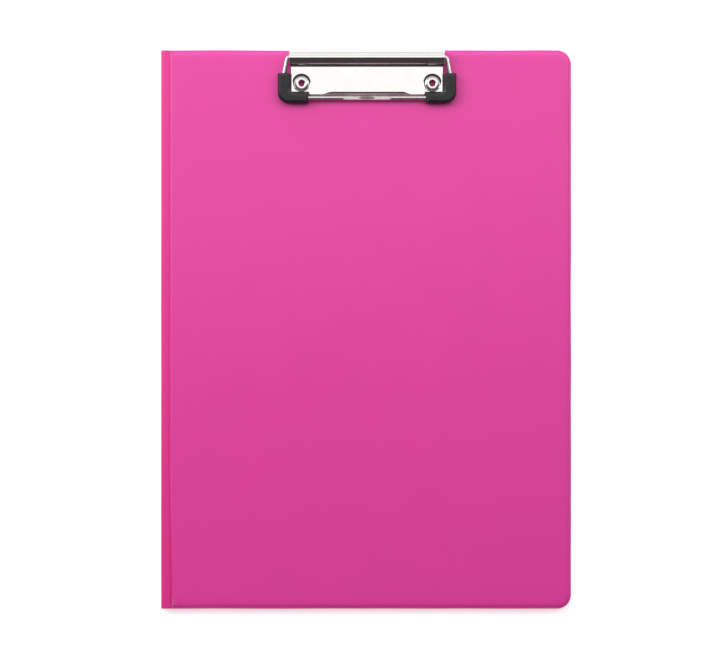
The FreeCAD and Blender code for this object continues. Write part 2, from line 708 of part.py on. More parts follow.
def make_sleeve(name, side):
    """An L-shaped plastic sleeve moulded round one front corner of the bail."""
    label = name + "_corner_sleeve"
    body = place_on_bail(new_body(label))
    arm, bar = "Sizes.bail_half_width", "Sizes.bail_reach"
    half_arm, half_bar = "Sizes.sleeve_arm_width / 2", "Sizes.sleeve_bar_width / 2"
    outer_x, inner_x = f"{side} * ({arm} + {half_arm})", f"{side} * ({arm} - {half_arm})"
    end_x = f"{side} * ({arm} - Sizes.sleeve_run)"
    front_y, back_y = f"-{bar} - {half_bar}", f"{half_bar} - {bar}"
    end_y = f"Sizes.sleeve_rise - {bar}"
    outline = [
        (outer_x, front_y),
        (outer_x, end_y),
        (inner_x, end_y),
        (inner_x, back_y),
        (end_x, back_y),
        (end_x, front_y),
    ]
    sketch = draw_outline(sketch_on(body, label + "_outline"), outline)
    add_pad(body, label + "_block", sketch, "Sizes.sleeve_depth", both_ways=True)
    corners = (
        ("outer_corner", "Sizes.sleeve_corner", outer_x, front_y),
        ("inner_corner", "Sizes.sleeve_inner_corner", inner_x, back_y),
    )
    for corner, radius, x, y in corners:
        where = [point(x, y)]
        add_fillet(body, f"{label}_{corner}", radius, lambda e: is_upright_over(e, where))
    half = number("Sizes.sleeve_depth / 2")
    add_fillet(
        body,
        label + "_edges",
        "Sizes.sleeve_round",
        lambda e: at_height(e, half) or at_height(e, -half),
    )
    bore = draw_wire_section(body, label + "_bore_section", "Sizes.wire_radius + Sizes.sleeve_clearance")
    before = body.Shape.Volume
    add_pipe(body, label + "_bore", bore, draw_bail_path(body), cut=True)
    if body.Shape.Volume > before - NEAR:
        raise ValueError(f"{label}: its bore cut nothing")
    return body


def make_bail():
    return [make_wire_bail()] + [make_sleeve(name, side) for name, side in SIDES.items()]


# Checks and files ----------------------------------------------------------------------------


def check_document():
    """Stops if any object failed to rebuild."""
    DOC.recompute()
    for obj in DOC.Objects:
        if "Invalid" in obj.State or "Error" in obj.State:
            raise ValueError(f"{obj.Label}: {obj.State}")


def write_parts(parts):
    """Writes each sub-part to its own file, once all of them are sound."""
    for part in parts:
        if part.Shape.isNull() or not part.Shape.isValid() or part.Shape.Volume <= 0:
            raise ValueError(f"{part.Label}: its shape is not sound")
    os.makedirs("parts", exist_ok=True)
    for part in parts:
        part.Shape.exportStep(os.path.join("parts", part.Label + ".step"))


def main():
    parts = make_clip_board() + make_cover() + make_spine()
    parts += [make_base_plate(), make_leaf_spring(), make_rivets()] + make_bail()
    check_document()
    write_parts(parts)
    print(len(parts), "sub-parts written")


main()
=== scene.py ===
"""Looks of the foldover clipboard: vinyl skins and spine, clip finishes, floor, light and camera."""

import json
import math

import bmesh
import bpy
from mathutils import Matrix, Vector, noise


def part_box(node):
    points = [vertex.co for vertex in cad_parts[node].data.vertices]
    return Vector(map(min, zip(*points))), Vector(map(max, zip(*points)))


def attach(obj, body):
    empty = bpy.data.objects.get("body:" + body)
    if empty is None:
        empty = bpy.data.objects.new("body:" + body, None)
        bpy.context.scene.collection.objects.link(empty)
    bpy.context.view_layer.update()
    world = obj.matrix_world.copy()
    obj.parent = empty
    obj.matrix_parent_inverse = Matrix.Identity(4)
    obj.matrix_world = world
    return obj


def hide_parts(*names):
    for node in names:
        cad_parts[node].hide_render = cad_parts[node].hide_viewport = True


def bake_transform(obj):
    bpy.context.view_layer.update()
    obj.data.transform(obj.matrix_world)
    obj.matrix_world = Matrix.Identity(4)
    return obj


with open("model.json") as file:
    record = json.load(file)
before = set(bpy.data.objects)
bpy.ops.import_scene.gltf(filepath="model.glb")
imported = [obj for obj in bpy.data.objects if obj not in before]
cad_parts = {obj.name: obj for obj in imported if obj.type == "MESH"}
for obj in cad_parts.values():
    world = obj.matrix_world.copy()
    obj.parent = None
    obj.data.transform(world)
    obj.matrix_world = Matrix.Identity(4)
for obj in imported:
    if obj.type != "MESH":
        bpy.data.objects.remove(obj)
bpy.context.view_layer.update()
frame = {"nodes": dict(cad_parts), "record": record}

MM = 0.001  # shapes are worked out in millimetres and built in metres


# Places taken from the frame -----------------------------------------------------------------


def box_mm(node):
    """Lowest and highest corner of a CAD node, in millimetres."""
    low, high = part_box(node)
    return Vector(low) / MM, Vector(high) / MM


def joint_mm(name):
    """Where a joint's axis is, in millimetres."""
    joint = next(j for j in frame["record"]["behaviour"]["joints"] if j["name"] == name)
    return Vector(joint["pos_m"]) / MM


LINING_LOW, LINING_HIGH = box_mm("clip_board_lining")
BOARD_MID = LINING_LOW.z
BOARD_FACE = LINING_HIGH.z
RIGHT = LINING_HIGH.x
TOP = LINING_HIGH.y
COVER_MID = box_mm("cover_outer_sheet")[0].z
POCKET_LOW, POCKET_HIGH = box_mm("cover_pocket")
FOLD_X = joint_mm("upper_fold").x
CREASE_X = joint_mm("board_crease").x
SHEET = 0.35  # thickness of one vinyl sheet
CORNER = 8.0  # radius of the boards' outer corners
RIVET_HEAD, RIVET_HOLE = 4.5, 2.35  # radii
RIVET_LOW, RIVET_HIGH = box_mm("clip_rivets")
RIVET_Y = (RIVET_LOW.y + RIVET_HIGH.y) / 2
RIVET_PLACES = [(RIVET_LOW.x + RIVET_HEAD, RIVET_Y), (RIVET_HIGH.x - RIVET_HEAD, RIVET_Y)]
PLATE_LOW, PLATE_HIGH = box_mm("clip_base_plate")
CLIP_X = (PLATE_LOW.x + PLATE_HIGH.x) / 2
BAIL_Y, BAIL_Z = joint_mm("bail_hinge").y, joint_mm("bail_hinge").z
WIRE_RADIUS = 1.3
REFLECTION_MIDDLE = Vector((CLIP_X, box_mm("wire_bail")[0].y + WIRE_RADIUS, 0.0))  # middle of the front bar, where its painted reflections are centred
BRIGHT_REFLECTION_HALF = 13.5  # half length of the painted bright reflection on the front bar
DARK_REFLECTION_HALF = 4.7  # half length of the painted dark reflection in it


# Curves and noise ----------------------------------------------------------------------------


def smooth(t):
    """0 to 1 with level ends."""
    t = min(max(t, 0.0), 1.0)
    return t * t * (3 - 2 * t)


def along(table, x):
    """Value at x of a table of (x, value) pairs, level beyond its ends."""
    if x <= table[0][0]:
        return table[0][1]
    for (x0, y0), (x1, y1) in zip(table, table[1:]):
        if x <= x1:
            return y0 + (y1 - y0) * (x - x0) / (x1 - x0)
    return table[-1][1]


def ripple(x, y, size, seed):
    """Smooth noise from -1 to 1 over patches of this size, in millimetres."""
    return noise.noise(Vector((x / size, y / size, seed)))


# How far the skin stands over the rim's middle, by distance from the outline.
CROWN = [
    (0.0, 0.36),
    (1.00, 0.37),
    (1.15, 0.41),
    (1.28, 0.52),
    (1.42, 0.70),
    (1.60, 0.89),
    (1.85, 1.05),
    (2.20, 1.18),
    (2.70, 1.27),
    (3.40, 1.325),
    (4.40, 1.35),
]
EDGE = [(0.0, 0.06), (0.06, 0.19), (0.15, 0.28), (0.28, 0.34), (0.42, 0.36)]  # its rounded outer edge
CROWN_FOOT = 1.05  # where the crown starts, from the outline
# Mesh lines: distances from the outline, and from the crown's foot beside the crease.
OFFSETS = [d for d, _height in EDGE] + [0.7] + [d for d, _height in CROWN[1:]] + [5.5, 6.7, CORNER]
FOOT_OFFSETS = [0.0] + [d - CROWN_FOOT for d, _height in CROWN[2:]] + [4.6, 6.2]
CORNER_BLEND = 3.0  # rounding of the crown at the two corners by the spine
COVER_CREASE = CREASE_X - 0.9


def near_foot(y):
    """0 over the board's upper three quarters, rising smoothly to 1 at its foot."""
    return smooth((-80 - y) / 80)


def groove_x(y):
    """Middle of the groove between board and spine, which wanders towards the foot of the board."""
    return CREASE_X - 0.60 + 1.30 * near_foot(y) + 0.10 * ripple(0, y, 45, 3.1)


def foot_x(y):
    """Where the clip board's crown starts beside the groove."""
    return groove_x(y) + 0.40


def cover_foot_x(y):
    """Where the cover's crown starts beside its crease."""
    return COVER_CREASE + 0.15 * ripple(0, y, 60, 8.2)


# Meshes --------------------------------------------------------------------------------------


def to_object(name, data):
    """Puts a mesh, light or camera into the scene."""
    obj = bpy.data.objects.new(name, data)
    bpy.context.scene.collection.objects.link(obj)
    return obj


def build(name, points, faces, sharp=40):
    """A mesh object from points in millimetres, shaded smooth but for edges sharper than sharp degrees."""
    mesh = bpy.data.meshes.new(name)
    mesh.from_pydata([tuple(c * MM for c in p) for p in points], [], faces)
    finish_mesh(mesh, sharp)
    return to_object(name, mesh)


def finish_mesh(mesh, sharp):
    """Merges double points, turns all faces outward and marks the sharp edges."""
    work = bmesh.new()
    work.from_mesh(mesh)
    bmesh.ops.remove_doubles(work, verts=work.verts, dist=1e-7)
    bmesh.ops.recalc_face_normals(work, faces=work.faces)
    for face in work.faces:
        face.smooth = True
    for edge in work.edges:
        edge.smooth = len(edge.link_faces) == 2 and edge.calc_face_angle(0) < math.radians(sharp)
    work.to_mesh(mesh)
    work.free()


def shell(rows_out, rows_in):
    """Points and faces of a closed sheet between two grids of the same shape."""
    high, wide = len(rows_out), len(rows_out[0])
    points = [p for rows in (rows_out, rows_in) for row in rows for p in row]
    faces = []

    def at(i, j, side):
        return (side * high + i) * wide + j

    for i in range(high - 1):
        for j in range(wide - 1):
            faces.append((at(i, j, 0), at(i, j + 1, 0), at(i + 1, j + 1, 0), at(i + 1, j, 0)))
            faces.append((at(i, j, 1), at(i + 1, j, 1), at(i + 1, j + 1, 1), at(i, j + 1, 1)))
    rim = [(i, 0) for i in range(high)] + [(high - 1, j) for j in range(1, wide)]
    rim += [(i, wide - 1) for i in range(high - 2, -1, -1)] + [(0, j) for j in range(wide - 2, 0, -1)]
    for (i, j), (k, m) in zip(rim, rim[1:] + rim[:1]):
        faces.append((at(i, j, 0), at(k, m, 0), at(k, m, 1), at(i, j, 1)))
    return points, faces


def cut_holes(obj, places, radius):
    """Cuts round holes along Z through a mesh."""
    work = bmesh.new()
    for x, y in places:
        made = bmesh.ops.create_cone(
            work, cap_ends=True, segments=48, radius1=radius * MM, radius2=radius * MM, depth=20 * MM
        )
        bmesh.ops.translate(work, verts=made["verts"], vec=Vector((x, y, BOARD_MID)) * MM)
    mesh = bpy.data.meshes.new("cutter")
    work.to_mesh(mesh)
    work.free()
    cutter = to_object("cutter", mesh)
    modifier = obj.modifiers.new("holes", "BOOLEAN")
    modifier.object = cutter
    modifier.operation = "DIFFERENCE"
    modifier.solver = "EXACT"
    graph = bpy.context.evaluated_depsgraph_get()
    result = bpy.data.meshes.new_from_object(obj.evaluated_get(graph))
    obj.modifiers.clear()
    old, obj.data = obj.data, result
    bpy.data.meshes.remove(old)
    bpy.data.objects.remove(cutter)
    finish_mesh(obj.data, 40)


# Covered boards ------------------------------------------------------------------------------

SKIN_ROW_STEP = 5.2
SKIN_COLUMNS = 42  # between the mesh lines beside the crease and those at the right edge
RIM_WIDTH = 1.3  # where the skin is solid down to the rim's middle
UNDER_INSET = 0.30  # how much further in the underside rises
SIDE_WAVE, END_WAVE = 0.16, 0.22  # waviness of the outline
WAVE_REACH = 9.0  # how far in from the outline it is felt


def spread(low, high, step):
    """Evenly spaced places between low and high, both left out."""
    count = max(1, round((high - low) / step))
    return [low + (high - low) * i / count for i in range(1, count)]


def round_corner(u, v):
    """Bends a square corner region into a quarter disc: u and v from the corner's centre."""
    if u <= 0 or v <= 0:
        return u, v
    ring = max(u, v)
    share = math.pi / 4 * (v / u if v <= u else 2 - u / v)
    return ring * math.cos(share), ring * math.sin(share)


def skin_height(distance, from_foot, from_end):
    """Height of a skin over the rim's middle."""
    beside = from_foot + CROWN_FOOT
    if from_end < CORNER_BLEND and beside < CORNER_BLEND:
        gap = math.hypot(CORNER_BLEND - from_end, CORNER_BLEND - beside)
        inside = max(0.0, CORNER_BLEND - gap)
    else:
        inside = min(distance, beside)
    crown = along(CROWN, inside)
    return crown if distance > EDGE[-1][0] else min(crown, along(EDGE, distance))


def skin_place(x, y, seed):
    """Where a point of the square grid lies on the board, with its round corners and wavy outline."""
    u, v = round_corner(x - (RIGHT - CORNER), abs(y) - (TOP - CORNER))
    in_corner_rows = abs(y) > TOP - CORNER
    place_x = RIGHT - CORNER + u
    place_y = math.copysign(TOP - CORNER + v, y) if in_corner_rows else y
    side, end = 1 - smooth((RIGHT - x) / WAVE_REACH), 1 - smooth((TOP - abs(y)) / WAVE_REACH)
    place_x += SIDE_WAVE * side * ripple(seed, y, 38, 2.0)
    place_y += END_WAVE * end * ripple(x, seed, 33, 5.0) * (1 if y > 0 else 0.7)
    return place_x, place_y


def skin_heights(x, y, left, seed):
    """Height of a skin's face and of its underside over the rim's middle; left is the crown's foot."""
    from_foot, from_end = x - left, TOP - abs(y)
    distance = min(RIGHT - x, from_end)
    bow = 0.03 * ripple(x, y, 70, seed) + 0.008 * ripple(x, y, 24, seed + 4)
    inland = 1 - smooth(1 - distance / WAVE_REACH)
    face = skin_height(distance, from_foot, from_end) + bow * inland * smooth(from_foot / 8)
    if distance <= RIM_WIDTH or from_foot <= UNDER_INSET:
        return face, 0.0
    further_in = skin_height(distance - UNDER_INSET, from_foot - UNDER_INSET, from_end - UNDER_INSET)
    return face, max(0.0, further_in - SHEET - 0.01)


def make_skin(name, body, middle, up, foot, seed, node, holes=()):
    """One vinyl skin of a covered board: crowned over the greyboard, flat at the welded rim."""
    ends = [TOP - d for d in OFFSETS]
    ys = sorted(ends + [-e for e in ends] + spread(-TOP + CORNER, TOP - CORNER, SKIN_ROW_STEP))
    right = [RIGHT - d for d in reversed(OFFSETS)]
    rows_out, rows_in = [], []
    for y in ys:
        left = foot(y)
        first = left + FOOT_OFFSETS[-1]
        xs = [left + f for f in FOOT_OFFSETS]
        xs += [first + (right[0] - first) * i / SKIN_COLUMNS for i in range(1, SKIN_COLUMNS)] + right
        out, inner = [], []
        for x in xs:
            place = skin_place(x, y, seed)
            face, under = skin_heights(x, y, left, seed)
            out.append((*place, middle + up * face))
            inner.append((*place, middle + up * under))
        rows_out.append(out)
        rows_in.append(inner)
    obj = build(name, *shell(rows_out, rows_in))
    if holes:
        cut_holes(obj, holes, RIVET_HOLE)
    dress(obj, "vinyl", body, "vinyl_sheet", node)


# Spine ---------------------------------------------------------------------------------------

STRIP_END = FOLD_X + 1.55  # where a flat of the spine hands over to a fold
FOLD_ROUND = 1.15  # radius of the two folds
FOLD_TURNS = 7
HALFWAY = (BOARD_MID + COVER_MID) / 2


def spine_curve(y):
    """Middle line of the folded spine at y, from the clip board's crown to the cover's."""
    groove, foot, cover_foot = groove_x(y), foot_x(y), cover_foot_x(y)
    puff = 0.20 + 0.05 * ripple(2, y, 26, 1.7)
    depth, flare = 0.18 + 0.34 * near_foot(y), 0.45 * near_foot(y)
    upper = [
        (foot, BOARD_MID),
        (groove + 0.22, BOARD_MID - 0.6 * depth),
        (groove, BOARD_MID - depth),
        (groove - 0.25 - flare, BOARD_MID - 0.6 * depth),
        (groove - 0.6 - flare, BOARD_MID + 0.3 * puff),
        (groove - 1.0 - flare, BOARD_MID + 0.75 * puff),
        (STRIP_END, BOARD_MID + puff),
    ]
    left = FOLD_X + 0.06 * ripple(5, y, 40, 6.3)
    top, low = BOARD_MID + puff, COVER_MID - 0.5 * puff
    upper_fold, lower_fold = [], []
    for i in range(FOLD_TURNS + 1):
        turn = math.pi / 2 * i / FOLD_TURNS
        far, near = FOLD_ROUND * (1 - math.sin(turn)), FOLD_ROUND * (1 - math.cos(turn))
        upper_fold.append((left + far, top - near))
        lower_fold.append((left + near, low + far))
    back = (left, HALFWAY)
    lower = [
        (STRIP_END, low),
        (FOLD_X + 2.6, COVER_MID - 0.3 * puff),
        (cover_foot - 0.9, COVER_MID),
        (cover_foot - 0.5, COVER_MID + 0.05),
        (cover_foot, COVER_MID),
    ]
    return [upper, upper[-1:] + upper_fold[1:] + [back], [back] + lower_fold[:-1] + lower[:1], lower]


def offset_line(line, distance):
    """A line moved sideways: to the left of its own direction."""
    moved = []
    for i, (x, z) in enumerate(line):
        before, after = line[max(0, i - 1)], line[min(len(line) - 1, i + 1)]
        direction = Vector((after[0] - before[0], after[1] - before[1])).normalized()
        moved.append((x + direction.y * distance, z - direction.x * distance))
    return moved


def spine_layer(y, low, high):
    """The four pieces of one sheet of the spine at y, each as its outer and inner line."""
    pieces = spine_curve(y)
    whole = pieces[0] + pieces[1][1:] + pieces[2][1:] + pieces[3][1:]
    outer, inner = offset_line(whole, -high), offset_line(whole, -low)
    cuts, start = [], 0
    for piece in pieces:
        stop = start + len(piece)
        cuts.append((outer[start:stop], inner[start:stop]))
        start = stop - 1
    return cuts


def make_spine():
    """Both sheets of the spine, each in four pieces, one for each crease."""
    row_step = 4.0
    end_rows = [0.0, 0.2, 0.6, 1.6, row_step]
    ys = [TOP - d for d in end_rows] + [d - TOP for d in end_rows]
    ys = sorted(ys + spread(row_step - TOP, TOP - row_step, row_step))
    board, upper, back = (CREASE_X - 0.95, BOARD_MID), (STRIP_END, BOARD_MID), (FOLD_X, HALFWAY)
    lower, cover = (STRIP_END, COVER_MID), (COVER_CREASE, COVER_MID)
    # Each piece runs from one body to the next and stands for one CAD strip, or for none: crease, strip,
    # first and second body, start and end.
    bends = [
        ("board_crease", "clip_side", "clip_panel", "spine_clip_side", board, upper),
        ("upper_fold", "middle", "spine_clip_side", "spine_middle", upper, back),
        ("lower_fold", None, "spine_middle", "spine_cover_side", back, lower),
        ("cover_crease", "cover_side", "spine_cover_side", "cover", lower, cover),
    ]
    for layer, low, high in (("lining", 0.0, SHEET), ("outer_sheet", -SHEET, 0.0)):
        cuts = [spine_layer(y, low, high) for y in ys]
        for index, (crease, strip, first, second, start, end) in enumerate(bends):
            rows_out, rows_in = [], []
            for y, cut in zip(ys, cuts):
                outer, inner = cut[index]
                rows_out.append([(x, y, z) for x, z in outer])
                rows_in.append([(x, y, z) for x, z in inner])
            obj = build(f"spine_{layer}_{crease}", *shell(rows_out, rows_in))
            nodes = [f"spine_{layer}_{strip}"] if strip else []
            # The spine's darker vinyl is painted shade of its curved strip.
            dress(obj, "spine_vinyl_painted_shade", None, "vinyl_sheet", *nodes)
            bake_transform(obj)


# Pocket --------------------------------------------------------------------------------------


def make_pocket():
    """The pocket welded inside the cover, with a thumb notch and a welded border."""
    low, high = POCKET_LOW, POCKET_HIGH
    notch, foot_round = 14.0, 5.5  # radii
    weld, weld_width = 2.4, 0.5  # from the edge
    middle = (low.x + high.x) / 2
    across, up = 90, 60
    columns = [low.x + (high.x - low.x) * i / across for i in range(across + 1)]
    rows_out, rows_in = [], []
    for i in range(up + 1):
        share = i / up
        out, inner = [], []
        for x in columns:
            top = high.y - math.sqrt(max(0.0, notch**2 - (x - middle) ** 2))
            past = max(0.0, x - high.x + foot_round)
            rise = foot_round - math.sqrt(max(0.0, foot_round**2 - past**2))
            bottom = low.y + rise
            y = bottom + (top - bottom) * share
            edge = min(x - low.x, high.x - x, y - low.y)
            groove = math.exp(-(((edge - weld) / weld_width) ** 2))
            z = low.z + 0.10 * groove + 0.03 * ripple(x, y, 30, 9.0) * smooth(edge / 6) ** 2
            out.append((x, y, max(low.z, z)))
            inner.append((x, y, high.z))
        rows_out.append(out)
        rows_in.append(inner)
    sheet = build("cover_pocket_sheet", *shell(rows_out, rows_in))
    dress(sheet, "pocket_vinyl", "cover", "pocket_vinyl", "cover_pocket")


# Clip plate ----------------------------------------------------------------------------------

# Sections of the plate have y from the bail's pivot, forward negative, and z from the board's face.
STEEL = 0.8
PIVOT = BAIL_Z - BOARD_FACE
HUMP_RADIUS = 4.6
HUMP_HALF = (PLATE_HIGH.x - PLATE_LOW.x) / 2
HUMP_ROUND = 0.3  # rounding of the hump's ends
FOOT_ROUND = 0.35  # bend between hump and flat
FLAT_TOP = 2.2
FLAT_HALF = 43.6
FLAT_ROUND = 0.6  # rounding of the flat's ends
FLAT_ROWS = 52
UNDER_HALF = FLAT_HALF - STEEL - 0.06  # half width of the sheet's underside
TONGUE_HALF = 33.0
TONGUE_FRONT, SHOULDER_FRONT = -21.25, -19.75
LIP_HALF = 25.5
EDGE_RUN, LIP_RUN = 0.6, 1.5  # run of the front bend beside the lip, and what the lip adds
SEAT_FLOOR, SEAT_RIM, SEAT_DEPTH = 3.4, 5.2, 1.4
COLUMN_STEPS = [(19.0, 1.6), (26.5, 0.6), (31.8, 0.7), (42.8, 0.27), (FLAT_HALF - FLAT_ROUND, 0.2)]
BEND_TURNS = 6
BEND_ANGLES = [math.pi / 2 * i / BEND_TURNS for i in range(1, BEND_TURNS + 1)]


def seat_fall(x, y):
    """How far the flat is pressed down round the rivets, x from the clip's middle, y from the pivot."""
    gap = min(math.hypot(x - (px - CLIP_X), y - (py - BAIL_Y)) for px, py in RIVET_PLACES)
    return SEAT_DEPTH * min(1.0, max(0.0, (SEAT_RIM - gap) / (SEAT_RIM - SEAT_FLOOR)))


def front_edge(x):
    """Front edge of the flat, and the run of its bend: gentle along the lip, tight beside it."""
    edge = SHOULDER_FRONT + (TONGUE_FRONT - SHOULDER_FRONT) * smooth((TONGUE_HALF + 0.25 - abs(x)) / 0.5)
    return edge, EDGE_RUN + LIP_RUN * smooth((LIP_HALF - abs(x)) / 5.0)


def hump_line():
    """Outside of the hump from the rear foot to the front, and of the bend that leads to the flat."""
    rear = [(HUMP_RADIUS, z) for z in (0.3, 0.7, 1.6, 2.8)]
    turns = 36
    angles = [math.pi * i / turns for i in range(turns + 1)]
    crown = [(HUMP_RADIUS * math.cos(a), PIVOT + HUMP_RADIUS * math.sin(a)) for a in angles]
    front = [(-HUMP_RADIUS, z) for z in (3.4, 2.9)]
    foot = [
        (-HUMP_RADIUS - FOOT_ROUND * math.sin(a), FLAT_TOP + FOOT_ROUND * (1 - math.cos(a)))
        for a in (math.pi / 8, math.pi / 4, 3 * math.pi / 8)
    ]
    return rear + crown + front, foot


def plate_columns():
    """Places across the plate, closer together where it bends."""
    half = [0.0]
    for stop, step in COLUMN_STEPS:
        start = half[-1]
        count = max(1, round((stop - start) / step))
        half += [start + (stop - start) * i / count for i in range(1, count + 1)]
    return [-x for x in reversed(half[1:])] + half


def hump_inside(hump):
    """The hump's line moved inward by the thickness of the steel."""
    share = (HUMP_RADIUS - STEEL) / HUMP_RADIUS
    inside = [
        (y * share, PIVOT + (z - PIVOT) * share) if z >= PIVOT else (math.copysign(HUMP_RADIUS - STEEL, y), z)
        for y, z in hump
    ]
    y, z = inside[-1]
    return inside[:-1] + [(y, z - 0.3)]


def plate_section(x):
    """Outer and inner line of the sheet at x: hump, bend, flat and front edge."""
    hump, foot = hump_line()
    outer = hump + foot
    inner = hump_inside(hump)
    inner += [(-HUMP_RADIUS + 0.62 - 0.2 * i, FLAT_TOP - FOOT_ROUND - 0.15 * i) for i in range(len(foot))]
    edge, run = front_edge(x)
    start = -HUMP_RADIUS - 0.4
    for i in range(FLAT_ROWS + 1):
        y = start + (edge + run - start) * i / FLAT_ROWS
        top = FLAT_TOP - seat_fall(x, y)
        outer.append((y, top))
        inner.append((y, max(0.0, top - STEEL)))
    drop = min(top - 0.3, 0.55 + 0.55 * (run - EDGE_RUN))
    for angle in BEND_ANGLES:
        y, z = edge + run * (1 - math.sin(angle)), top - drop * (1 - math.cos(angle))
        outer.append((y, z))
        inner.append((max(y, edge + STEEL), max(0.0, min(z - 0.35, top - STEEL))))
    outer.append((edge, 0.0))
    inner.append((edge + STEEL, 0.0))
    return outer, inner


def between(first, second, share):
    """The point at this share of the way from one (y, z) to another."""
    return tuple(a + (b - a) * share for a, b in zip(first, second))


def hump_end(side, edge, under_edge):
    """Lanes that close one end of the hump, from the sheet's face and from its underside.

    They are at shares of the way through the sheet: 0 on its face and 1 on its underside.
    """
    turned, under = [], []
    for angle in BEND_ANGLES:
        x = side * (HUMP_HALF - HUMP_ROUND + HUMP_ROUND * math.sin(angle))
        turned.append((x, *between(edge, under_edge, 0.30 * (1 - math.cos(angle)))))
        under.append((x, *under_edge))
    last = side * (HUMP_HALF + 0.01)
    turned.append((last, *between(edge, under_edge, 0.45)))
    under.append((last, *between(edge, under_edge, 0.75)))
    return turned, under


def flat_end(side, edge, under_edge):
    """Lanes that turn one end of the flat down to the board, from its face and from its underside."""
    (y, z), turned, under = edge, [], []
    fall = min(FLAT_ROUND, max(0.0, z - 0.1))
    for i, angle in enumerate(BEND_ANGLES, start=1):
        x = FLAT_HALF - FLAT_ROUND + FLAT_ROUND * math.sin(angle)
        turned.append((side * x, y, z - fall * (1 - math.cos(angle))))
        under.append((side * (UNDER_HALF + 0.01 * i), *under_edge))
    turned.append((side * FLAT_HALF, y, 0.0))
    under.append((side * (FLAT_HALF - STEEL + 0.02), under_edge[0], 0.0))
    return turned, under


def make_plate():
    """The pressed plate as one sheet, with its side edges turned down, and the hump's end cheeks."""
    columns = plate_columns()
    faces, undersides = zip(*[plate_section(x) for x in columns])
    hump_rows = len(hump_line()[0])
    hump_stretch = (HUMP_HALF - HUMP_ROUND) / columns[-1]
    under_stretch = UNDER_HALF / columns[-1]
    rows_out, rows_in = [], []
    for v in range(len(faces[0])):
        close, stretch, narrow = flat_end, 1.0, under_stretch
        if v < hump_rows:
            close, stretch, narrow = hump_end, hump_stretch, hump_stretch
        out = [(x * stretch, *line[v]) for x, line in zip(columns, faces)]
        under = [(x * narrow, *line[v]) for x, line in zip(columns, undersides)]
        left_out, left_under = close(-1, out[0][1:], under[0][1:])
        right_out, right_under = close(1, out[-1][1:], under[-1][1:])
        rows_out.append(left_out[::-1] + out + right_out)
        rows_in.append(left_under[::-1] + under + right_under)
    place = Vector((CLIP_X, BAIL_Y, BOARD_FACE))
    points, quads = shell(rows_out, rows_in)
    sheet = build("clip_plate_sheet", [Vector(p) + place for p in points], quads, 50)
    cut_holes(sheet, RIVET_PLACES, RIVET_HOLE)
    dress(sheet, "plated_steel", "clip_panel", "plated_steel", "clip_base_plate")
    for side, name in ((-1, "left"), (1, "right")):
        make_cheek(f"clip_plate_{name}_cheek", side)


def make_cheek(name, side):
    """End wall of the hump, with the bearing for the wire."""
    reach, floor, bore = HUMP_RADIUS - STEEL + 0.02, 0.35 - PIVOT, WIRE_RADIUS + 0.06
    corner = math.atan2(-floor, reach)
    angles = sorted([2 * math.pi * i / 72 for i in range(72)] + [-corner % (2 * math.pi), math.pi + corner])
    face = side * (HUMP_HALF - 0.2)
    back = face - side * STEEL
    rings = []
    for angle in angles:
        across, up = math.cos(angle), math.sin(angle)
        outer = reach if up >= 0 else min(reach / max(abs(across), 1e-9), floor / up)
        loop = [(face, outer), (face, bore), (back, bore), (back, outer)]
        rings.append([(CLIP_X + x, BAIL_Y + r * across, BAIL_Z + r * up) for x, r in loop])
    points = [p for ring in rings for p in ring]
    count = len(rings)
    faces = [
        (4 * i + j, 4 * i + (j + 1) % 4, 4 * ((i + 1) % count) + (j + 1) % 4, 4 * ((i + 1) % count) + j)
        for i in range(count)
        for j in range(4)
    ]
    cheek = build(name, points, faces)
    dress(cheek, "plated_steel", "clip_panel", "plated_steel", "clip_base_plate")


# Materials -----------------------------------------------------------------------------------


